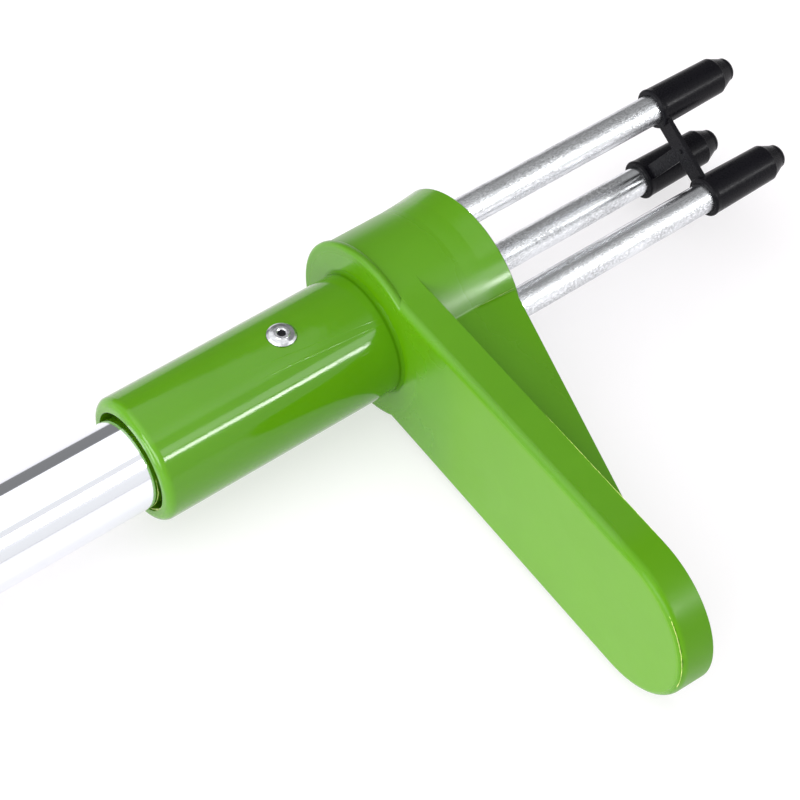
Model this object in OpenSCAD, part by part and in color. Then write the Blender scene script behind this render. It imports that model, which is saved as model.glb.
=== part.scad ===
// Stand-up weed puller with a step-on pedal, lying on its side.
// +X runs along the shaft from the T-handle to the tine tips, the pedal points
// to -Y, and +Z is up. The shaft axis is level, one collar radius above z = 0.
// Millimetres, real size. The origin is the bottom centre of the bounding box.

/* [Overall] */
// length over the hang eye and the cap tips
overall_l = 990; // [820:5:1200]
// outside diameter of the shaft tube
shaft_d = 25; // [22:0.5:28]
// wall of the shaft tube
shaft_wall = 1.2; // [0.8:0.1:2]

/* [Socket sleeve] */
// outside diameter of the sleeve that holds the shaft
sleeve_d = 35.1; // [33:0.1:40]
// length of the sleeve, from its lip to the back of the collar
sleeve_l = 74; // [60:1:100]
// bore diameter at the lip, where the socket has its lead-in
mouth_d = 28.2; // [27:0.1:30.5]
// rounding of the lip
lip_r = 2.2; // [1:0.1:2.6]
// distance of the rivet from the lip
rivet_x = 47; // [34:1:56]

/* [Collar] */
// diameter of the collar at its back
collar_d = 50.8; // [48:0.2:56]
// diameter of the collar's front rim
collar_front_d = 52.6; // [50:0.2:58]
// diameter of the bead round the collar's back edge
collar_rim_d = 52.2; // [50:0.2:58]
// rounding of that bead
rim_r = 1.05; // [0.6:0.05:1.6]
// length of the collar
collar_l = 33.8; // [30:0.2:44]
// length over which the collar flares to its front rim
flare_l = 12; // [6:1:18]
// rounding of the foot face's edge
edge_r = 2.2; // [1:0.1:2.6]

/* [Pedal] */
// reach of the pedal from the shaft axis
pedal_reach = 131.25; // [110:0.05:150]
// width of the pedal
pedal_w = 45.9; // [40:0.1:48.4]
// thickness of the pedal slab
pedal_t = 9.95; // [7:0.05:12]
// rake of the pedal towards the handle, in degrees
pedal_rake = 2.35; // [0:0.05:4]
// radius that blends the pedal's sides into the collar
pedal_fillet = 20; // [10:1:30]
// width of the gusset under the pedal
gusset_w = 30; // [22:0.5:36]
// distance from the axis at which the gusset runs out
gusset_reach = 105.6; // [90:0.2:116]
// wall of the cored gusset
gusset_wall = 3.2; // [2.4:0.1:5]

/* [Tines] */
// diameter of each tine rod
tine_d = 8.7; // [7:0.1:9.4]
// radius of the circle that the tines stand on
tine_rho = 16.6; // [16:0.1:17.5]
// reach of the tine points beyond the collar
tine_out = 98.4; // [80:0.2:120]
// length of the conical tine point
point_l = 9; // [5:0.5:14]
// thickness of the plate that locates the tines
plate_t = 3; // [2:0.5:4]

/* [Rubber caps] */
// length of each cap
cap_l = 29.2; // [27:0.2:34]
// outside diameter of a cap at its open end
cap_d = 11.5; // [11.1:0.1:13]
// thickness of the web that joins the caps
web_t = 1.4; // [1:0.1:2.4]
// width of the web's straps
web_w = 5.6; // [3:0.1:6]
// width of the web's branch to the third cap
branch_w = 4.2; // [3:0.1:6]

/* [T handle] */
// outside diameter of the crossbar tube
bar_d = 22; // [19:0.5:23]
// wall of the crossbar tube
bar_wall = 1.2; // [0.9:0.1:2]
// outside diameter of the grips
grip_d = 32; // [29:0.5:36]
// half the width of the T-piece between the grips
hub_half = 31; // [28:0.5:36]
// length of the T-piece's socket, from the crossbar axis
hub_socket = 80; // [66:1:96]
// diameter of the hole in the hang eye
eye_hole_d = 8; // [6:0.5:9]

/* [Hidden] */
$fn = 96;
c = 0.03;                                  // gap of a seated fit
axis_z = max(collar_front_d, collar_rim_d) / 2; // shaft axis above the resting plane
collar_front = sleeve_l + collar_l;
tine_tip = collar_front + tine_out;
cap_end = tine_tip + 4.8;                    // outside tip of the caps
cap_start = cap_end - cap_l;
hub_r = axis_z;
hub_len = 24;                              // half length of the T-piece's barrel
eye_r = eye_hole_d / 2 + 4.5;
eye_flange = 2.5;
eye_x = hub_len + eye_flange + 7;          // hang eye behind the crossbar axis
bar_x = cap_end - overall_l + eye_x + eye_r; // crossbar axis, from the lip
tube_end = sleeve_l + 1.8;
tube_start = bar_x + bar_d / 2 + 2.6;
tine_start = sleeve_l + 6;
recess_d = 5.5;                            // depth of the collar's front recess
recess_r = collar_d / 2 - 2.9;
plate_x = collar_front - recess_d;
plate_front = plate_x + plate_t;
tine_angles = [60, 300, 180];              // from +Y towards +Z, the last is over the pedal
screw_angles = [0, 120, 240];
screw_rho = 13.4;
screw_r = 1.95;
rivet_r = 2;
rivet_z = sleeve_d / 2 - 0.42;             // seat of a rivet's flange
handle_rivet_x = bar_x + 52;
pedal_u0 = 14;                             // the foot face leaves the plane of the collar's back here
pedal_hw = pedal_w / 2;
pedal_root = -pedal_u0 * tan(pedal_rake);
pedal_tip_y = pedal_reach * cos(pedal_rake) + (pedal_t + pedal_u0 * sin(pedal_rake)) * sin(pedal_rake);
// end of each grip, so that the T is as wide as the pedal's reach
grip_end = round(10 * (pedal_tip_y - 3.5)) / 10;
x_mid = cap_end - overall_l / 2;

module place() translate([-x_mid, 0, axis_z]) children();
module along_x(x = 0) translate([x, 0, 0]) rotate([0, 90, 0]) children();
module along_y(y = 0) translate([0, y, 0]) rotate([-90, 0, 0]) children();
module at_tine(a) translate([0, tine_rho * cos(a), tine_rho * sin(a)]) children();

// a solid of revolution about X, its outline given as [x, r]
module turned_x(outline) rotate([90, 0, 90]) rotate_extrude()
  polygon([for (p = outline) [p[1], p[0]]]);

// a cylinder about X whose edge at low x is rounded
module rounded_back(x0, x1, r, e) rotate([90, 0, 90]) rotate_extrude() union() {
  translate([0, x0]) square([r - e, x1 - x0]);
  translate([0, x0 + e]) square([r, x1 - x0 - e]);
  translate([r - e, x0 + e]) intersection() { circle(e); translate([0, -e]) square([e, e]); }
}

// the same about X, rounded at high x
module rounded_front(x0, x1, r, e) translate([x0 + x1, 0, 0]) mirror([1, 0, 0])
  rounded_back(x0, x1, r, e);

// cross recess of a pan head, cut downward along -Z from z = 0
module cross_recess(w, t, h) translate([0, 0, -h]) union() {
  translate([-w / 2, -t / 2, 0]) cube([w, t, h + 1]);
  translate([-t / 2, -w / 2, 0]) cube([t, w, h + 1]);
}

// pan head screw, the underside of its head at z = 0, pointing down
module pan_screw(len) difference() {
  union() {
    rotate_extrude() union() {
      square([2.9, 2.3]);
      square([3.8, 1.4]);
      translate([2.9, 1.4]) intersection() { circle(0.9); square(0.9); }
    }
    translate([0, 0, 2 - len]) cylinder(r = screw_r, h = len - 2);
    translate([0, 0, -len]) cylinder(r1 = 0.5, r2 = screw_r, h = 2);
  }
  translate([0, 0, 2.3]) cross_recess(3.4, 0.8, 1.3);
}

// blind rivet seated at z = 0, pointing down through a wall of thickness w
module blind_rivet(w) rotate_extrude()
  polygon([[1.1, -w - 2.8], [1.9, -w - 2.8], [2.6, -w - 2.1], [2.85, -w - 0.85], [2.5, -w - 0.36],
    [rivet_r, -w - 0.24], [rivet_r, 0], [3.95, 0], [3.95, 0.42], [3.35, 0.86],
    [2.25, 1.12], [2.1, 1.34], [1.35, 1.34], [1.1, 1.1]]);

// what is left of the rivet's mandrel, its head under the bulb and its stub short of the ring
module rivet_mandrel(w) rotate_extrude()
  polygon([[0, -w - 4.1], [1.1, -w - 4], [1.7, -w - 3.4], [1.7, -w - 2.8 - c], [1.1 - c, -w - 2.8 - c],
    [1.1 - c, -0.4], [0, -0.4]]);

// the bore of a socket: open mouth, lead-in and a land that grips the tube
module socket_bore(len) union() {
  turned_x([[-1, 0], [-1, mouth_d / 2], [0, mouth_d / 2], [20, shaft_d / 2 + 0.5], [23, shaft_d / 2 + c],
    [len, shaft_d / 2 + c], [len, 0]]);
}

module rivet_cut(x) translate([x, 0, 0]) union() {
  translate([0, 0, rivet_z]) cylinder(r = 4.05, h = 4);
  cylinder(r = rivet_r + c, h = rivet_z + 1);
}

// the pedal in its own frame: u along X, width along Y, thickness along Z, foot face at z = 0
// section across it, from the middle outwards: square at the back, rounded at the foot face
module pedal_half_section() union() {
  square([pedal_hw - edge_r, pedal_t]);
  translate([0, edge_r]) square([pedal_hw, pedal_t - edge_r]);
  translate([pedal_hw - edge_r, edge_r]) circle(edge_r);
}
module pedal_slab() union() {
  translate([4, 0, 0]) rotate([90, 0, 90]) linear_extrude(pedal_reach - pedal_hw - 4) union() {
    pedal_half_section();
    mirror([1, 0]) pedal_half_section();
  }
  translate([pedal_reach - pedal_hw, 0, 0]) rotate_extrude() pedal_half_section();
}
// u runs to -Y and the thickness to +X
module pedal_axes() multmatrix([[0, 0, 1, 0], [-1, 0, 0, 0], [0, -1, 0, 0], [0, 0, 0, 1]]) children();
// the same, raked about Z
module pedal_frame() translate([sleeve_l, 0, 0]) rotate([0, 0, -pedal_rake])
  translate([-pedal_root * cos(pedal_rake), 0, 0]) pedal_axes() children();

// side view of the gusset, as [x, distance from the axis]
function slab_front(u) = sleeve_l - (u - pedal_u0) * tan(pedal_rake) + pedal_t;
gusset_top = collar_front - 0.1;
gusset_u0 = 19.6;                          // where its edge leaves the collar's front
module side_prism(pts, w) rotate([0, 0, 180]) mirror([1, 0, 0]) translate([0, 0, -w / 2])
  linear_extrude(w) polygon(pts);
module gusset() {
  side_prism([[sleeve_l + 4, 12], [gusset_top, 12], [gusset_top, gusset_u0],
    [slab_front(gusset_reach), gusset_reach], [slab_front(gusset_reach) - 3, gusset_reach]], gusset_w);
}
// two pockets cored from the claw side, with a middle rib
module gusset_core() for (s = [-1, 1]) translate([0, 0, s * (gusset_w / 4 - gusset_wall / 2 + 0.6)])
  side_prism([[slab_front(30) + 0.6, collar_front_d / 2 + 3], [collar_front + 5, collar_front_d / 2 + 3],
    [collar_front + 5, gusset_reach - 8], [slab_front(gusset_reach) + 0.6, gusset_reach - 8]],
    gusset_w / 2 - gusset_wall - 1.2);
// fillet along the line where a flat side at half width h meets a cylinder of radius r
module side_fillet(h, r, f, x0, l) {
  yc = sqrt(pow(r + f, 2) - pow(h + f, 2));
  for (s = [-1, 1]) scale([1, 1, s]) translate([x0, 0, 0]) rotate([90, 0, 90])
    linear_extrude(l) difference() {
      polygon([[-yc, h - 1], [-yc, h + f], [-yc * r / (r + f), (h + f) * r / (r + f)], [-yc * 0.6, h - 3]]);
      translate([-yc, h + f]) circle(f, $fn = 96);
    }
}

module shaft_tube() color([0.86, 0.87, 0.88]) place() difference() {
  along_x(tube_start) cylinder(d = shaft_d, h = tube_end - tube_start);
  along_x(tube_start - 1) cylinder(d = shaft_d - 2 * shaft_wall, h = tube_end - tube_start + 2);
  for (x = [rivet_x, handle_rivet_x]) translate([x, 0, 0]) cylinder(r = rivet_r + c, h = shaft_d);
}

module head_body() color([0.3, 0.6, 0.08]) place() difference() {
  union() {
    rounded_back(0, sleeve_l + 4, sleeve_d / 2, lip_r);
    turned_x([[sleeve_l - 1.1, 0], [sleeve_l - 1.1, sleeve_d / 2 - 0.1],
      [sleeve_l - 0.5, sleeve_d / 2 + 0.15], [sleeve_l - 0.1, sleeve_d / 2 + 0.6],
      [sleeve_l + 0.4, sleeve_d / 2 + 1.3], [sleeve_l + 0.4, 0]]);
    rounded_back(sleeve_l, sleeve_l + 1.5, collar_rim_d / 2, rim_r);
    turned_x([[sleeve_l + 1.4, 0], [sleeve_l + 1.4, collar_rim_d / 2 - 0.02],
      [sleeve_l + 1.9, collar_rim_d / 2 - 0.12],
      [sleeve_l + 2.7, collar_d / 2], [collar_front - flare_l, collar_d / 2],
      [collar_front - flare_l * 0.55, collar_d / 2 + (collar_front_d - collar_d) * 0.16],
      [collar_front - flare_l * 0.25, collar_d / 2 + (collar_front_d - collar_d) * 0.35],
      [collar_front - 0.3, collar_front_d / 2], [collar_front, collar_front_d / 2 - 0.3], [collar_front, 0]]);
    pedal_frame() pedal_slab();
    gusset();
    side_fillet(gusset_w / 2, collar_d / 2, 1.2, sleeve_l + pedal_t - 1, collar_l - pedal_t - 1.6);
    side_fillet(pedal_hw, collar_d / 2, pedal_fillet, sleeve_l + edge_r + 0.2, pedal_t - edge_r - 0.4);
  }
  socket_bore(tube_end + 0.2);
  rivet_cut(rivet_x);
  for (a = tine_angles) at_tine(a) along_x(tine_start - 0.1) cylinder(d = tine_d + 2 * c, h = collar_l);
  along_x(plate_x) cylinder(r = recess_r + c, h = recess_d + 1);
  for (a = screw_angles) translate([0, screw_rho * cos(a), screw_rho * sin(a)])
    along_x(plate_x - 14) cylinder(r = screw_r + c, h = 15);
  gusset_core();
}

module tine_plate() color([0.72, 0.74, 0.76]) place() difference() {
  along_x(plate_x) cylinder(r = recess_r, h = plate_t);
  for (a = tine_angles) at_tine(a) along_x(plate_x - 1) cylinder(d = tine_d + 2 * c, h = plate_t + 2);
  for (a = screw_angles) translate([0, screw_rho * cos(a), screw_rho * sin(a)])
    along_x(plate_x - 1) cylinder(r = screw_r + 0.2, h = plate_t + 2);
}

// a rod with a conical point and the weld bead that fixes it to the plate
module tine(a) color([0.78, 0.8, 0.82]) place() at_tine(a) union() {
  turned_x([[tine_start, 0], [tine_start, tine_d / 2], [tine_tip - point_l, tine_d / 2],
    [tine_tip - 1, 1.2], [tine_tip, 0.5], [tine_tip, 0]]);
  turned_x([[plate_front, 0], [plate_front, tine_d / 2 + 1.5], [plate_front + 0.7, tine_d / 2 + 0.9],
    [plate_front + 1.5, tine_d / 2], [plate_front + 1.5, 0]]);
}
module tine_upper() tine(tine_angles[0]);
module tine_lower() tine(tine_angles[1]);
module tine_pedal_side() tine(tine_angles[2]);

module plate_screws() color([0.6, 0.62, 0.64]) place() for (a = screw_angles)
  translate([plate_front, screw_rho * cos(a), screw_rho * sin(a)]) rotate([0, 90, 0]) pan_screw(13);

module cap_shell() difference() {
  rotate([90, 0, 90]) rotate_extrude() union() {
    polygon([[0, cap_start + 0.6], [cap_d / 2 + 0.15, cap_start + 0.6], [cap_d / 2, cap_start + 1.8],
      [cap_d / 2 - 0.35, cap_end - 5.8], [cap_d / 2 - 0.6, cap_end - 5.3], [3.75, cap_end - 2.1],
      [3.6, cap_end - 1.7], [3.42, cap_end - 0.8], [2.95, cap_end - 0.25], [2.2, cap_end], [0, cap_end]]);
    translate([cap_d / 2 - 0.45, cap_start + 0.6]) circle(0.6);
    translate([0, cap_start]) square([cap_d / 2 - 0.45, 2]);
  }
  turned_x([[cap_start - 1, 0], [cap_start - 1, tine_d / 2 + 0.09],
    [tine_tip - point_l + 0.3, tine_d / 2 + 0.09],
    [tine_tip - 0.6, 1.3], [tine_tip + 0.4, 0.8], [tine_tip + 0.4, 0]]);
}
// a strap of width w between two points of the YZ plane
module strap(a, b, w) {
  d = b - a;
  translate(a) rotate(atan2(d[1], d[0])) translate([0, -w / 2]) square([norm(d), w]);
}
function tine_yz(a) = [tine_rho * cos(a), tine_rho * sin(a)];
module cap_set() color([0.12, 0.12, 0.13]) place() {
  mid = (tine_yz(tine_angles[0]) + tine_yz(tine_angles[2])) / 2;
  difference() {
    union() {
      for (a = tine_angles) at_tine(a) cap_shell();
      translate([cap_start + 1.2, 0, 0]) rotate([90, 0, 90]) linear_extrude(web_t) union() {
        strap(tine_yz(tine_angles[0]), tine_yz(tine_angles[2]), web_w);
        strap(tine_yz(tine_angles[1]), mid, branch_w);
      }
      translate([cap_start + 0.9, mid[0], mid[1]]) along_x() cylinder(r = 0.7, h = 1, $fn = 24);
    }
    for (a = tine_angles) at_tine(a) along_x(cap_start - 1) cylinder(d = tine_d + 0.18, h = 12);
  }
}

module head_rivet() color([0.85, 0.86, 0.88]) place() translate([rivet_x, 0, rivet_z])
  blind_rivet(rivet_z - shaft_d / 2 + shaft_wall);
module head_rivet_mandrel() color([0.35, 0.35, 0.36]) place() translate([rivet_x, 0, rivet_z])
  rivet_mandrel(rivet_z - shaft_d / 2 + shaft_wall);
module handle_rivet() color([0.85, 0.86, 0.88]) place() translate([handle_rivet_x, 0, rivet_z])
  blind_rivet(rivet_z - shaft_d / 2 + shaft_wall);
module handle_rivet_mandrel() color([0.35, 0.35, 0.36]) place() translate([handle_rivet_x, 0, rivet_z])
  rivet_mandrel(rivet_z - shaft_d / 2 + shaft_wall);

// seat of the crossbar screw's head, above the axis
bar_screw_z = hub_r - 4.6;
module handle_hub() color([0.3, 0.6, 0.08]) place() difference() {
  union() {
    rounded_front(bar_x, bar_x + hub_socket, sleeve_d / 2, lip_r);
    turned_x([[bar_x + hub_len - 3, 0], [bar_x + hub_len - 3, hub_r - 3],
      [bar_x + hub_len + 3, sleeve_d / 2 + 3.2], [bar_x + hub_len + 8, sleeve_d / 2 + 0.8],
      [bar_x + hub_len + 13, sleeve_d / 2], [bar_x + hub_len + 13, 0]]);
    rounded_back(bar_x - hub_len, bar_x, hub_r, 9);
    rounded_front(bar_x - 0.1, bar_x + hub_len, hub_r, 6);
    translate([bar_x, 0, 0]) along_y(-hub_half) cylinder(d = grip_d - 1.2, h = 2 * hub_half);
  }
  translate([bar_x + hub_socket, 0, 0]) mirror([1, 0, 0]) socket_bore(hub_socket - bar_d / 2 - 2.4);
  translate([bar_x, 0, 0]) along_y(-hub_half - 1) cylinder(d = bar_d + 2 * c, h = 2 * hub_half + 2);
  along_x(bar_x - hub_len - 1) cylinder(r = 9 + c, h = 11.5);
  rivet_cut(handle_rivet_x);
  translate([bar_x, 0, bar_screw_z]) cylinder(r = 4.2, h = 6);
  translate([bar_x, 0, 0]) cylinder(r = screw_r + c, h = hub_r);
}

module hang_eye() color([0.12, 0.12, 0.13]) place() translate([bar_x - hub_len, 0, 0]) difference() {
  union() {
    rounded_back(-eye_flange, 0, 13, 1.4);
    along_x(0) cylinder(r = 9, h = 10);
    translate([hub_len - eye_x, 0, 0]) along_y(-3) cylinder(r = eye_r, h = 6);
    translate([hub_len - eye_x, -3, -eye_r]) cube([eye_x - hub_len - 0.5, 6, 2 * eye_r]);
  }
  translate([hub_len - eye_x, 0, 0]) along_y(-4) cylinder(d = eye_hole_d, h = 8);
}

module crossbar() color([0.7, 0.72, 0.74]) place() translate([bar_x, 0, 0]) difference() {
  along_y(-grip_end) cylinder(d = bar_d, h = 2 * grip_end);
  along_y(-grip_end - 1) cylinder(d = bar_d - 2 * bar_wall, h = 2 * grip_end + 2);
  cylinder(r = screw_r + c, h = bar_d);
}
module crossbar_screw() color([0.6, 0.62, 0.64]) place() translate([bar_x, 0, bar_screw_z])
  pan_screw(bar_screw_z - bar_d / 2 + bar_wall + 3);

// a soft grip on +Y: a flange at the T-piece, a palm swell and shallow rings
module grip() {
  l = grip_end - hub_half; r = grip_d / 2; n = 11; p = (l - 22) / (n - 1);
  translate([bar_x, hub_half, 0]) rotate([-90, 0, 0]) difference() {
    rotate_extrude() union() {
      polygon([[0, 0], [r + 0.6, 0], [r + 1.2, 0.8], [r + 1.2, 3.4], [r, 6.5], [r - 0.6, 9], [r, l * 0.5],
        [r - 0.7, l - 5], [r - 0.9, l], [0, l]]);
    }
    for (i = [0 : n - 1]) translate([0, 0, 12 + i * p]) rotate_extrude()
      translate([r + 0.45, 0]) circle(1.35, $fn = 24);
    translate([0, 0, -1]) cylinder(d = bar_d + 2 * c, h = l + 2);
  }
}
module grip_left() color([0.12, 0.12, 0.13]) place() grip();
module grip_right() color([0.12, 0.12, 0.13]) place() mirror([0, 1, 0]) grip();

module grip_cap() translate([bar_x, grip_end, 0]) rotate([-90, 0, 0]) union() {
  translate([0, 0, 3.5]) mirror([0, 0, 1]) rotate_extrude() union() {
    square([grip_d / 2 - 2.6, 3.5]);
    translate([0, 2]) square([grip_d / 2 - 0.6, 1.5]);
    translate([grip_d / 2 - 2.6, 2]) intersection() { circle(2); translate([0, -2]) square([2, 2]); }
  }
  translate([0, 0, -14]) cylinder(r = bar_d / 2 - bar_wall - c, h = 14.5);
}
module grip_cap_left() color([0.3, 0.6, 0.08]) place() grip_cap();
module grip_cap_right() color([0.3, 0.6, 0.08]) place() mirror([0, 1, 0]) grip_cap();

shaft_tube();
head_body();
tine_plate();
tine_upper();
tine_lower();
tine_pedal_side();
plate_screws();
cap_set();
head_rivet();
head_rivet_mandrel();
handle_rivet();
handle_rivet_mandrel();
handle_hub();
hang_eye();
crossbar();
crossbar_screw();
grip_left();
grip_right();
grip_cap_left();
grip_cap_right();
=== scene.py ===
"""Stand-up weed puller lying on a pale table: materials, small moulding details, light and camera."""
import math
import random
import bmesh
import bpy
from mathutils import Matrix, Vector


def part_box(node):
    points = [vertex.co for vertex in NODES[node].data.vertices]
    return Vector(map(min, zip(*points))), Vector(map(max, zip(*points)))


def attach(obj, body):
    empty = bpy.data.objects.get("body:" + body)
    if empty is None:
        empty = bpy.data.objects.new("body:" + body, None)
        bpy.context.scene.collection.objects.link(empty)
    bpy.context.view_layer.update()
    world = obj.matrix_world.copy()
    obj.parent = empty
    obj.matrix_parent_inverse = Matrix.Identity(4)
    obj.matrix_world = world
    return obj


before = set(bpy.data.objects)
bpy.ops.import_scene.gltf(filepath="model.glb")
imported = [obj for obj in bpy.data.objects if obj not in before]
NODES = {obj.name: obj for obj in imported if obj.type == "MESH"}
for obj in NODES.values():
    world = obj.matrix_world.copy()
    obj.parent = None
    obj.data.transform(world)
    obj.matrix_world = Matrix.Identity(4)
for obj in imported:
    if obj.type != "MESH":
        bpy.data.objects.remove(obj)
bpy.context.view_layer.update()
random.seed(7)

MM = 0.001
RAD = math.radians

# the shaft's axis and the sleeve's lip, which is the head's own zero, taken from the frame
TUBE_LO, TUBE_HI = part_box("shaft_tube")
AXIS_Z = (TUBE_LO.z + TUBE_HI.z) / 2
X0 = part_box("head_body")[0].x

# the head moulding as part.scad makes it, from the lip and the axis
SLEEVE = 74 * MM                    # length of the sleeve, up to the collar's back
SOCKET_R = 14.1 * MM                # inside of the sleeve's mouth
COLLAR_SKIN = 23.5 * MM             # anything further from the axis is the collar's outside
PEDAL_REACH = 131.25 * MM           # from the axis to the tip
PEDAL_HALF = 22.95 * MM             # half its width, and its tip's radius
PEDAL_THICK = 9.95 * MM
PEDAL_EDGE = 2.2 * MM               # rounding of the foot face's edge
PEDAL_RAKE = RAD(2.35)              # lean of the pedal towards the handle
PEDAL_START = 14 * MM               # from the axis to where its foot face crosses the collar's back


# ---------------------------------------------------------------- shader kit
class Nodes:
    """The node calls that the materials and the sky share."""

    def __init__(self, tree):
        self.t = tree
        self.t.nodes.clear()

    def put(self, socket, v):
        if isinstance(v, bpy.types.NodeSocket):
            self.t.links.new(v, socket)
        else:
            socket.default_value = v

    def math(self, op, a, b=0.0):
        n = self.t.nodes.new("ShaderNodeMath")
        n.operation = op
        self.put(n.inputs[0], a)
        self.put(n.inputs[1], b)
        return n.outputs[0]

    def add(self, a, b):
        return self.math("ADD", a, b)

    def sub(self, a, b):
        return self.math("SUBTRACT", a, b)

    def mul(self, a, b):
        return self.math("MULTIPLY", a, b)

    def most(self, a, b):
        return self.math("MAXIMUM", a, b)

    def above(self, a, b):
        return self.math("GREATER_THAN", a, b)

    def below(self, a, b):
        return self.math("LESS_THAN", a, b)

    def xyz(self, v):
        n = self.t.nodes.new("ShaderNodeSeparateXYZ")
        self.put(n.inputs[0], v)
        return n.outputs

    def fit(self, v, a, b, c, d, smooth=False):
        """Maps a..b to c..d, and holds it there outside."""
        n = self.t.nodes.new("ShaderNodeMapRange")
        if smooth:
            n.interpolation_type = "SMOOTHSTEP"
        self.put(n.inputs["Value"], v)
        for k, x in zip(("From Min", "From Max", "To Min", "To Max"), (a, b, c, d)):
            n.inputs[k].default_value = x
        return n.outputs[0]

    def band(self, v, centre, half, soft):
        """1 within half of centre, falling to 0 over soft."""
        d = self.math("ABSOLUTE", self.sub(v, centre))
        return self.fit(d, half, half + soft, 1.0, 0.0, smooth=True)


class Mat(Nodes):
    """A material of one Principled shader, patterned in the object's own coordinates."""

    def __init__(self, name):
        self.m = bpy.data.materials.new(name)
        self.m.use_nodes = True
        super().__init__(self.m.node_tree)
        out = self.t.nodes.new("ShaderNodeOutputMaterial")
        self.bsdf = self.t.nodes.new("ShaderNodeBsdfPrincipled")
        self.t.links.new(self.bsdf.outputs[0], out.inputs[0])
        self.obj = self.t.nodes.new("ShaderNodeTexCoord").outputs["Object"]
        self.normal = None          # the last normal made, which the next bump builds on

    def set(self, **kw):
        for k, v in kw.items():
            self.put(self.bsdf.inputs[k.replace("_", " ")], v)

    def scaled(self, sx, sy, sz):
        n = self.t.nodes.new("ShaderNodeVectorMath")
        n.operation = "MULTIPLY"
        self.put(n.inputs[0], self.obj)
        n.inputs[1].default_value = (sx, sy, sz)
        return n.outputs[0]

    def noise(self, scale, detail=3.0, rough=0.5, v=None, distort=0.0):
        n = self.t.nodes.new("ShaderNodeTexNoise")
        self.put(n.inputs["Vector"], v or self.obj)
        n.inputs["Scale"].default_value = scale
        n.inputs["Detail"].default_value = detail
        n.inputs["Roughness"].default_value = rough
        n.inputs["Distortion"].default_value = distort
        return n.outputs[0]

    def streaks(self, sx, sy, sz, detail=3.0, rough=0.5, distort=0.0):
        """Noise with its own scale along each axis."""
        return self.noise(1.0, detail, rough, self.scaled(sx, sy, sz), distort)

    def voronoi(self, scale, v=None, feature="F1"):
        n = self.t.nodes.new("ShaderNodeTexVoronoi")
        n.feature = feature
        self.put(n.inputs["Vector"], v or self.obj)
        n.inputs["Scale"].default_value = scale
        return n.outputs["Distance"]

    def ramp(self, fac, *stops):
        """Two colours, each at its place from 0 to 1."""
        n = self.t.nodes.new("ShaderNodeValToRGB")
        for el, (p, c) in zip(n.color_ramp.elements, stops):
            el.position = p
            el.color = (*c, 1)
        self.put(n.inputs[0], fac)
        return n.outputs[0]

    def mix(self, fac, a, b):
        n = self.t.nodes.new("ShaderNodeMix")
        n.data_type = "RGBA"
        self.put(n.inputs["Factor"], fac)
        for s, v in zip([s for s in n.inputs if s.type == "RGBA"], (a, b)):
            self.put(s, v if isinstance(v, bpy.types.NodeSocket) else (*v, 1))
        return [s for s in n.outputs if s.type == "RGBA"][0]

    def bump(self, height, distance, strength=1.0):
        n = self.t.nodes.new("ShaderNodeBump")
        self.put(n.inputs["Height"], height)
        n.inputs["Distance"].default_value = distance
        self.put(n.inputs["Strength"], strength)
        if self.normal is not None:
            self.t.links.new(self.normal, n.inputs["Normal"])
        self.normal = n.outputs[0]
        self.t.links.new(self.normal, self.bsdf.inputs["Normal"])

    def facing(self):
        return self.t.nodes.new("ShaderNodeNewGeometry").outputs["Normal"]

    def soft_edges(self, radius):
        """Rounds the shading of sharp edges, and gives back how near an edge a point is."""
        n = self.t.nodes.new("ShaderNodeBevel")
        n.samples = 4
        n.inputs["Radius"].default_value = radius
        d = self.t.nodes.new("ShaderNodeVectorMath")
        d.operation = "DOT_PRODUCT"
        self.t.links.new(n.outputs[0], d.inputs[0])
        self.t.links.new(self.facing(), d.inputs[1])
        self.normal = n.outputs[0]
        self.t.links.new(self.normal, self.bsdf.inputs["Normal"])
        return self.fit(d.outputs["Value"], 0.98, 0.75, 0.0, 1.0)

    def about_shaft(self):
        """Distance along the shaft from the sleeve's lip, angle round it, distance from its axis, and y."""
        s = self.xyz(self.obj)
        z = self.sub(s[2], AXIS_Z)
        ang = self.math("ARCTAN2", z, s[1])
        r = self.math("SQRT", self.add(self.mul(s[1], s[1]), self.mul(z, z)))
        return self.sub(s[0], X0), ang, r, s[1]


def shade(colour, k, more=0.0):
    """The colour k times as bright, and no channel over 1."""
    return tuple(min(1.0, c * k + more) for c in colour)


# ---------------------------------------------------------------- finishes
def weld_lines(m, x, ang):
    """Two fine lines on the sleeve, where the plastic met behind the rivet's boss."""
    bend = m.add(m.mul(m.noise(60, 2), 0.03), m.mul(x, 4.1))
    line_a = m.band(m.sub(ang, bend), 1.865, 0.002, 0.010)
    line_b = m.band(m.sub(ang, m.mul(bend, 1.6)), 1.59, 0.001, 0.008)
    ends = m.mul(m.fit(x, 30 * MM, 42 * MM, 0.0, 1.0, True), m.fit(x, 70 * MM, 73 * MM, 1.0, 0.0, True))
    lines = m.mul(m.most(line_a, m.mul(line_b, 0.6)), ends)
    return m.mul(lines, m.fit(m.noise(160, 2), 0.35, 0.6, 0.25, 1.0))


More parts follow.
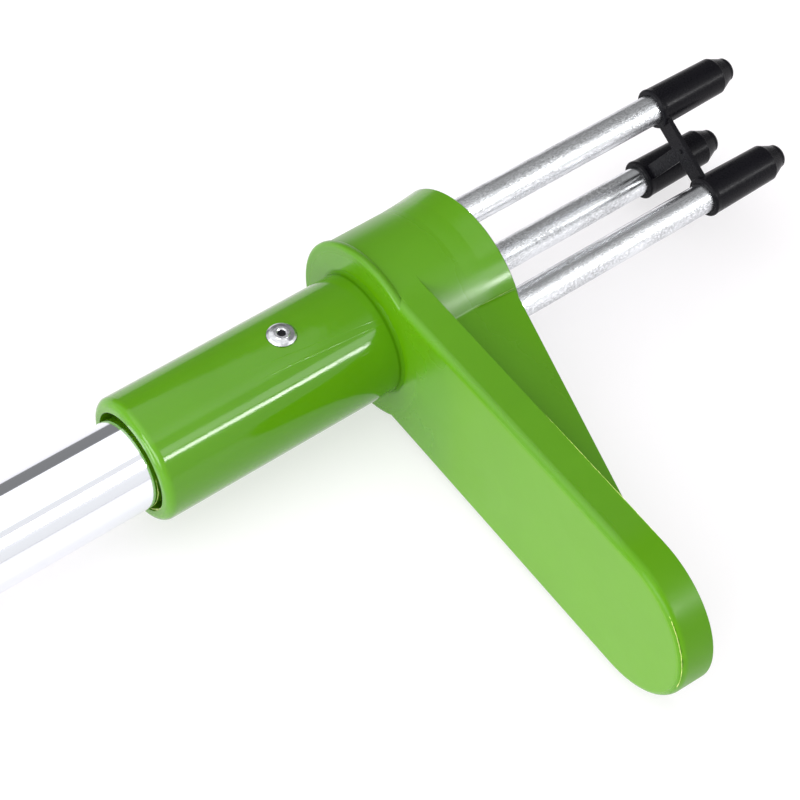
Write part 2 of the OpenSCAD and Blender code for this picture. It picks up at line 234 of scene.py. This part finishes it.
def glossy_green(name):
    """Injection-moulded plastic: faint flow marks, waviness in the gloss, fine handling scratches."""
    m = Mat(name)
    x, ang, r, y = m.about_shaft()
    face_x = m.xyz(m.facing())[0]
    edge = m.soft_edges(0.25 * MM)

    # where things are: the corner of sleeve and collar, where shade is painted, the collar, its front rim,
    # the foot face, the tip
    corner_shade = m.mul(m.band(x, 73.5 * MM, 0.7 * MM, 0.6 * MM), m.fit(r, 18.0 * MM, 18.8 * MM, 1.0, 0.0, True))
    skin = m.above(r, COLLAR_SKIN)
    collar = m.mul(m.band(x, 84 * MM, 8 * MM, 12 * MM), skin)
    rim = m.mul(m.fit(x, 94 * MM, 99 * MM, 0.0, 1.0, True), skin)
    foot = m.mul(m.fit(face_x, -0.98, -0.9, 1.0, 0.0), m.fit(y, -30 * MM, -45 * MM, 0.0, 1.0, True))
    tip = m.mul(m.fit(y, -98 * MM, -107 * MM, 0.0, 1.0, True), m.fit(face_x, -0.95, -0.8, 0.0, 1.0))

    # colour: clouds and flow marks, paler open edges that are partly wear and partly a painted highlight,
    # painted shade in the corner of sleeve and collar, weld lines, specks of pigment and dust, and a foot
    # face painted paler and yellower as painted light
    cloud = m.noise(22, 3, 0.55)
    flow = m.streaks(24, 70, 70, 4, 0.6, 0.6)
    base = m.ramp(cloud, (0.3, (0.075, 0.233, 0.001)), (0.7, (0.085, 0.26, 0.002)))
    base = m.mix(m.mul(m.fit(flow, 0.55, 0.75, 0.0, 1.0), 0.15), base, (0.1, 0.29, 0.005))
    # open edges painted paler: partly wear, partly a painted highlight where a rounded edge catches the
    # light
    edge_wear_and_highlight = m.mul(edge, m.sub(1.0, corner_shade))
    base = m.mix(m.mul(edge_wear_and_highlight, 0.3), base, (0.17, 0.46, 0.02))
    # painted shade: the corner of sleeve and collar is darkened, and its gloss lowered, as if little light
    # reached it
    base = m.mix(m.mul(corner_shade, 0.5), base, (0.03, 0.12, 0.001))
    lines = weld_lines(m, x, ang)
    base = m.mix(m.mul(lines, 0.25), base, (0.15, 0.4, 0.03))
    speck = m.mul(m.below(m.voronoi(900), 0.07), m.above(m.noise(240, 2), 0.56))
    base = m.mix(m.mul(speck, 0.35), base, (0.05, 0.2, 0.005))
    # painted light: the foot face, turned to the lamp on the handle's side, is painted paler and yellower
    base = m.mix(m.mul(foot, 0.25), base, (0.16, 0.36, 0.012))

    # gloss: scuffs and scratches, duller where boots rub and on the collar, which left the mould so
    scuff = m.fit(m.noise(34, 4, 0.65), 0.5, 0.72, 0.0, 1.0)
    scratch = m.mul(m.fit(m.streaks(160, 2600, 2600, 2), 0.66, 0.72, 0.0, 1.0), scuff)
    rough = m.add(m.fit(m.noise(55, 4), 0.3, 0.7, 0.07, 0.11), m.mul(scuff, 0.05))
    for mask, dulling in ((scratch, 0.12), (collar, 0.2), (tip, 0.06), (rim, 0.06), (foot, 0.12)):
        rough = m.add(rough, m.mul(mask, dulling))
    gloss = m.sub(m.fit(corner_shade, 0.0, 1.0, 0.5, 0.03), m.mul(tip, 0.28))
    m.set(Base_Color=base, Roughness=rough, IOR=1.42, Specular_IOR_Level=gloss)
    m.set(Subsurface_Weight=0.08, Subsurface_Scale=2.5 * MM)
    m.bsdf.inputs["Subsurface Radius"].default_value = (0.35, 1.0, 0.1)

    m.bump(m.noise(30, 2, 0.5), 0.9 * MM, 0.16)          # sink and waviness
    m.bump(m.noise(420, 2, 0.5), 0.02 * MM, 0.6)         # orange peel
    m.bump(lines, 0.05 * MM, 1.0)
    m.bump(scratch, 0.012 * MM, 0.7)
    return m.m


def plating(m):
    """The grain of a zinc plating, and its dark spots: pits in rows, and long drawn lines."""
    grain = m.streaks(1300, 2200, 2200, 4, 0.75)
    pits = m.fit(m.voronoi(1.0, m.scaled(900, 1700, 1700)), 0.16, 0.34, 1.0, 0.0)
    rows = m.fit(m.streaks(9, 420, 420, 2), 0.5, 0.62, 0.0, 1.0)
    patch = m.fit(m.streaks(60, 170, 170, 3, 0.6), 0.36, 0.6, 0.2, 1.0)
    draws = m.fit(m.streaks(7, 700, 700, 2), 0.6, 0.68, 0.0, 0.7)
    spots = m.most(m.mul(pits, rows), m.mul(m.fit(grain, 0.42, 0.54, 0.0, 1.0), patch))
    return grain, m.most(spots, draws)


def drawn_metal(name, colour, axis, rough, streak, dull, mottled=0.0):
    """Metal drawn along one axis: long streaks, fine scratches, thumb-worn duller areas."""
    m = Mat(name)
    edge = m.soft_edges(0.15 * MM)
    k = {"x": (6, 900, 900), "y": (900, 6, 900), "z": (900, 900, 6)}[axis]
    fine = m.streaks(*k, 3, 0.6)
    long = m.streaks(*[v * 0.22 for v in k], 3, 0.5)
    worn = m.fit(m.noise(38, 4, 0.6), 0.5, 0.72, 0.0, 1.0)
    base = m.ramp(long, (0.25, shade(colour, 0.9)), (0.75, colour))
    rr = m.add(m.fit(fine, 0.3, 0.7, rough - streak / 2, rough + streak), m.mul(worn, dull))
    if mottled:
        grain, spots = plating(m)
        base = m.mix(m.mul(spots, mottled), base, shade(colour, 0.4))
        rr = m.add(rr, m.mul(spots, 0.14))
        m.bump(m.mul(spots, -1.0), 0.04 * MM, 0.6)
        m.bump(grain, 0.03 * MM, 0.5)
    base = m.mix(m.mul(edge, 0.5), base, shade(colour, 1.12))
    m.set(Base_Color=base, Metallic=1.0, Roughness=rr)
    m.bump(fine, 0.012 * MM, 0.35)
    m.bump(long, 0.03 * MM, 0.35)
    return m.m


def moulded_rubber(name, colour, grain, rough):
    """Satin rubber: fine spark-eroded grain, rubbed edges, a little dust in the hollows."""
    m = Mat(name)
    edge = m.soft_edges(0.25 * MM)
    base = m.ramp(m.noise(70, 4, 0.6), (0.3, colour), (0.75, shade(colour, 1.3)))
    base = m.mix(m.mul(edge, 0.45), base, shade(colour, 2.0, 0.003))
    dust = m.mul(m.below(m.voronoi(1500), 0.1), m.above(m.noise(300, 2), 0.58))
    base = m.mix(m.mul(dust, 0.32), base, (0.12, 0.12, 0.12))
    g = m.noise(grain, 3, 0.6)
    rub = m.fit(m.noise(90, 3), 0.4, 0.7, 0.0, 1.0)
    rr = m.add(m.fit(g, 0.3, 0.7, rough - 0.05, rough + 0.06), m.mul(rub, -0.06))
    m.set(Base_Color=base, IOR=1.5, Specular_IOR_Level=0.09, Roughness=rr)
    m.bump(g, 0.05 * MM, 0.45)
    m.bump(m.noise(160, 3, 0.5), 0.08 * MM, 0.3)
    return m.m


def grip_rubber(name):
    """Soft grip: matte, leathery grain between the rings, polished where a palm rubs."""
    m = Mat(name)
    edge = m.soft_edges(0.3 * MM)
    cells = m.voronoi(1100, feature="DISTANCE_TO_EDGE")
    g = m.add(m.mul(m.fit(cells, 0.0, 0.22, 0.0, 1.0), 0.7), m.mul(m.noise(1900, 2), 0.4))
    palm = m.fit(m.noise(26, 3, 0.6), 0.42, 0.66, 0.0, 1.0)
    cloud = m.fit(m.noise(60, 4), 0.3, 0.7, 0.0, 1.0)
    base = m.mix(cloud, (0.012, 0.012, 0.013), (0.02, 0.02, 0.022))
    base = m.mix(m.mul(edge, 0.4), base, (0.045, 0.045, 0.048))
    m.set(Base_Color=base, IOR=1.5, Roughness=m.add(m.fit(g, 0.2, 1.0, 0.68, 0.58), m.mul(palm, -0.12)))
    m.bump(g, 0.07 * MM, 0.55)
    return m.m


def stressed_plastic(name):
    """Thin moulding flash, paler where it has been bent and torn."""
    m = Mat(name)
    tear = m.noise(900, 3, 0.6)
    base = m.ramp(tear, (0.35, (0.2, 0.42, 0.02)), (0.65, (0.66, 0.72, 0.24)))
    m.set(Base_Color=base, Roughness=m.fit(tear, 0.3, 0.7, 0.25, 0.45), IOR=1.42)
    m.bump(tear, 0.03 * MM, 0.6)
    return m.m


def bright_rivet(name):
    """Pressed aluminium: small dents, grey in the folds and bright on the edges."""
    m = Mat(name)
    edge = m.soft_edges(0.1 * MM)
    dents = m.noise(900, 3, 0.6)
    base = m.ramp(dents, (0.3, (0.46, 0.47, 0.5)), (0.7, (0.66, 0.67, 0.69)))
    base = m.mix(m.mul(edge, 0.5), base, (0.93, 0.93, 0.94))
    m.set(Base_Color=base, Metallic=1.0, Roughness=m.fit(dents, 0.3, 0.7, 0.12, 0.24))
    m.bump(dents, 0.05 * MM, 0.4)
    return m.m


def broken_wire(name):
    """The dark, torn end of a mandrel, snapped off when its rivet was set."""
    m = Mat(name)
    pits = m.noise(2600, 4, 0.7)
    base = m.ramp(pits, (0.3, (0.012, 0.012, 0.014)), (0.7, (0.05, 0.05, 0.055)))
    m.set(Base_Color=base, Metallic=0.6, Roughness=m.fit(pits, 0.3, 0.7, 0.45, 0.75))
    m.bump(pits, 0.1 * MM, 0.8)
    return m.m


def dress(obj, mat):
    if not obj.data.materials:
        obj.data.materials.append(mat)
    for i in range(len(obj.data.materials)):
        obj.data.materials[i] = mat


GREEN = glossy_green("green_moulding")
# drawn metals: the colour, the axis of drawing, the roughness, and how far streaks and wear change it
SHAFT = drawn_metal("drawn_aluminium", (0.85, 0.87, 0.92), "x", 0.07, 0.03, 0.04)
ZINC = drawn_metal("zinc_plated_rod", (0.9, 0.92, 0.95), "x", 0.16, 0.06, 0.04, mottled=0.85)
PLATE = drawn_metal("zinc_plated_plate", (0.66, 0.68, 0.71), "y", 0.3, 0.1, 0.08, mottled=0.5)
SCREW = drawn_metal("zinc_plated_screw", (0.6, 0.62, 0.65), "z", 0.28, 0.08, 0.06, mottled=0.35)
BAR = drawn_metal("drawn_steel_bar", (0.66, 0.68, 0.7), "y", 0.26, 0.08, 0.05)
RIVET = bright_rivet("rivet_aluminium_bright")
WIRE = broken_wire("mandrel_break")
CAPS = moulded_rubber("cap_rubber_satin", (0.0042, 0.004, 0.0056), 1400, 0.3)
EYE = moulded_rubber("black_moulding", (0.012, 0.012, 0.014), 2200, 0.5)
GRIP = grip_rubber("grip_rubber_matte")
FLASH = stressed_plastic("green_flash")

for node, finish in {
    "head_body": GREEN, "handle_hub": GREEN, "grip_cap_left": GREEN, "grip_cap_right": GREEN,
    "shaft_tube": SHAFT, "tine_upper": ZINC, "tine_lower": ZINC, "tine_pedal_side": ZINC,
    "tine_plate": PLATE, "plate_screws": SCREW, "crossbar_screw": SCREW, "crossbar": BAR,
    "head_rivet": RIVET, "handle_rivet": RIVET, "head_rivet_mandrel": WIRE, "handle_rivet_mandrel": WIRE,
    "cap_set": CAPS, "hang_eye": EYE, "grip_left": GRIP, "grip_right": GRIP,
}.items():
    dress(NODES[node], finish)


# ---------------------------------------------------------------- moulding flash, and a pale line that paints a highlight
def ribbon(name, rows, thick):
    """A thin skin of flash through rows of points, thickened a little and rounded."""
    bm = bmesh.new()
    grid = [[bm.verts.new(p) for p in row] for row in rows]
    for a, b in zip(grid, grid[1:]):
        for i in range(len(a) - 1):
            bm.faces.new((a[i], a[i + 1], b[i + 1], b[i]))
    me = bpy.data.meshes.new(name)
    bm.to_mesh(me)
    bm.free()
    me.polygons.foreach_set("use_smooth", [True] * len(me.polygons))
    me.materials.append(FLASH)
    o = bpy.data.objects.new(name, me)
    bpy.context.scene.collection.objects.link(o)
    mod = o.modifiers.new("thickness", "SOLIDIFY")
    mod.thickness, mod.offset = thick, 0
    mod = o.modifiers.new("rounding", "SUBSURF")
    mod.levels = mod.render_levels = 1
    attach(o, "tool")


def mouth_flash(name, start, stop, n=60):
    """Ragged skin left along the inside edge of the socket's mouth, between two angles in degrees."""
    rows = [[], [], []]
    depth = 0.0
    for i in range(n + 1):
        t = i / n
        a = RAD(start + (stop - start) * t)
        depth = 0.6 * depth + 0.4 * random.uniform(0.1, 1.0)
        d = depth * math.sin(math.pi * t) ** 0.5
        for row, f in zip(rows, (0.0, 0.5, 1.0)):
            r = SOCKET_R - f * d * 0.75 * MM
            x = X0 + (0.55 + 0.35 * f * depth + 0.1 * math.sin(i * 1.7)) * MM
            row.append((x, r * math.cos(a), AXIS_Z + r * math.sin(a)))
    ribbon(name, rows, 0.12 * MM)


def edge_flash(name, a, b, out, height, n=48):
    """A hair of plastic standing along an edge from a to b."""
    a, b, out = Vector(a), Vector(b), Vector(out).normalized()
    rows = [[], []]
    for i in range(n + 1):
        t = i / n
        p = a.lerp(b, t)
        h = height * (0.35 + 0.65 * random.random()) * math.sin(math.pi * t) ** 0.6
        rows[0].append(p - out * 0.1 * MM)
        rows[1].append(p + out * h)
    ribbon(name, rows, 0.07 * MM)


def pedal_point(u, z, depth):
    """A point of the pedal: u along it from the shaft's axis, z across it, depth behind its foot face."""
    x = depth + PEDAL_START * math.sin(PEDAL_RAKE)
    return Vector((X0 + SLEEVE + x * math.cos(PEDAL_RAKE) - u * math.sin(PEDAL_RAKE),
                   -x * math.sin(PEDAL_RAKE) - u * math.cos(PEDAL_RAKE), AXIS_Z + z))


def tip_flash(name, start, stop, n=60):
    """Nicks of flash on the rounded edge of the pedal's tip, between two angles in degrees."""
    centre = PEDAL_REACH - PEDAL_HALF
    diagonal = math.sqrt(0.5)
    inset = PEDAL_EDGE * (1 - diagonal) + 0.04 * MM      # of the rounding's middle, from the sharp edge
    rad = PEDAL_HALF - inset
    rows = [[], []]
    for i in range(n + 1):
        a = RAD(start + (stop - start) * i / n)
        h = (0.08 + 0.85 * random.random() ** 1.8) * MM * math.sin(math.pi * i / n) ** 0.5
        for row, q in zip(rows, (0.0, h * diagonal)):
            row.append(pedal_point(centre + (rad + q) * math.cos(a), (rad + q) * math.sin(a), inset - q))
    ribbon(name, rows, 0.22 * MM)


mouth_flash("mouth_flash", 160, 240)
# along the pedal's front edge, beside the gusset
edge_flash("pedal_edge_flash", pedal_point(62 * MM, PEDAL_HALF, PEDAL_THICK),
           pedal_point(108 * MM, PEDAL_HALF, PEDAL_THICK), (0, 0, 1), 0.26 * MM)
# a pale line of the flash material, a painted highlight on the fillet where the gusset leaves the collar
edge_flash("gusset_root_highlight", (X0 + 94.5 * MM, -20.6 * MM, AXIS_Z + 15.4 * MM),
           (X0 + 107 * MM, -21.2 * MM, AXIS_Z + 15.6 * MM), (0, -0.6, 0.8), 0.4 * MM)
tip_flash("pedal_tip_flash", -12, 50)


# ---------------------------------------------------------------- stage
def table(half=6.0):
    """A lit white table: it glows a little, so shadows on it stay faint."""
    m = Mat("table_top")
    m.set(Base_Color=m.ramp(m.noise(3.0, 3), (0.3, (0.44, 0.42, 0.44)), (0.7, (0.46, 0.44, 0.46))),
          Roughness=0.6, Emission_Color=(1, 1, 1, 1), Emission_Strength=0.565)
    me = bpy.data.meshes.new("table_top")
    corners = [(-half, -half, 0), (half, -half, 0), (half, half, 0), (-half, half, 0)]
    me.from_pydata(corners, [], [(0, 1, 2, 3)])
    me.materials.append(m.m)
    o = bpy.data.objects.new("table_top", me)
    bpy.context.scene.collection.objects.link(o)


def studio():
    """A pale tent, dimmer overhead, and dark low down beside the tool on the claw's side."""
    w = bpy.data.worlds.new("studio")
    bpy.context.scene.world = w
    w.use_nodes = True
    m = Nodes(w.node_tree)
    s = m.xyz(m.t.nodes.new("ShaderNodeTexCoord").outputs["Generated"])
    turn = m.math("ARCTAN2", s[2], s[1])                 # round the shaft, 0 at +Y, up at a right angle
    ahead = m.fit(s[0], -0.35, 0.1, 0.0, 1.0, True)      # 1 on the claw's side
    dark = m.mul(m.fit(turn, RAD(-4), RAD(8), 0.0, 1.0, True), m.fit(turn, RAD(29), RAD(38), 1.0, 0.0, True))
    dark = m.mul(dark, ahead)
    sky = m.fit(turn, RAD(92), RAD(112), 0.35, 1.0, True)
    sky = m.most(sky, m.sub(1.0, ahead))
    seam = m.band(turn, RAD(114), RAD(0.5), RAD(0.8))    # a thin grey line along the tent's roof
    sky = m.sub(sky, m.mul(seam, 0.4))
    level = m.add(m.mul(sky, m.sub(1.0, dark)), m.mul(dark, 0.26))
    seen = m.t.nodes.new("ShaderNodeLightPath").outputs["Is Camera Ray"]
    bg = m.t.nodes.new("ShaderNodeBackground")
    bg.inputs["Color"].default_value = (1.0, 1.0, 1.0, 1)
    m.put(bg.inputs["Strength"], m.most(level, seen))    # plain white as a backdrop
    out = m.t.nodes.new("ShaderNodeOutputWorld")
    m.t.links.new(bg.outputs[0], out.inputs[0])


def placed(x, y, z, where):
    """The matrix of an object with these axes at this place."""
    return Matrix.Translation(where) @ Matrix((x, y, z)).transposed().to_4x4()


def softbox(name, where, aim, w, h, radiance, matte=True):
    """A soft light, w along the shaft where it can be; without matte it shows only in reflections.

    where and aim are in metres from the sleeve's lip, on the shaft's axis.
    """
    d = bpy.data.lights.new(name, "AREA")
    d.shape, d.size, d.size_y, d.energy = "RECTANGLE", w, h, radiance * math.pi * w * h
    o = bpy.data.objects.new(name, d)
    z = (Vector(where) - Vector(aim)).normalized()
    x = Vector((1, 0, 0)) if abs(z.x) < 0.8 else Vector((0, 1, 0))
    x = (x - z * x.dot(z)).normalized()
    o.matrix_world = placed(x, z.cross(x), z, Vector((X0, 0, AXIS_Z)) + Vector(where))
    o.visible_camera = False
    o.visible_diffuse = matte
    bpy.context.scene.collection.objects.link(o)


def camera():
    """The camera that the photo's perspective gives."""
    c = bpy.data.cameras.new("camera")
    c.sensor_width, c.lens = 36.0, 108.5
    c.clip_start, c.clip_end = 0.02, 50
    o = bpy.data.objects.new("camera", c)
    right = Vector((0.78672, -0.61523, 0.05073))
    up = Vector((0.45682, 0.63549, 0.62247))
    where = Vector((X0 - 0.19232, -0.31626, AXIS_Z + 0.48925))
    o.matrix_world = placed(right, up, right.cross(up), where)
    bpy.context.scene.collection.objects.link(o)
    bpy.context.scene.camera = o


table()
studio()
softbox("strip", (0.6, -1.0, 0.655), (0.04, 0, 0), 0.9, 0.11, 26, matte=False)
softbox("glow", (0.64, -0.95, 0.93), (0.04, 0, 0), 0.9, 0.26, 3.1, matte=False)
softbox("overhead", (-0.43, 0.22, 0.62), (-0.43, 0.22, 0), 1.5, 1.04, 1.15)
softbox("handle_side", (-1.3, -0.35, 0.45), (0.05, -0.05, 0), 1.2, 0.6, 6.9)
camera()
bpy.context.scene.view_settings.view_transform = "Standard"
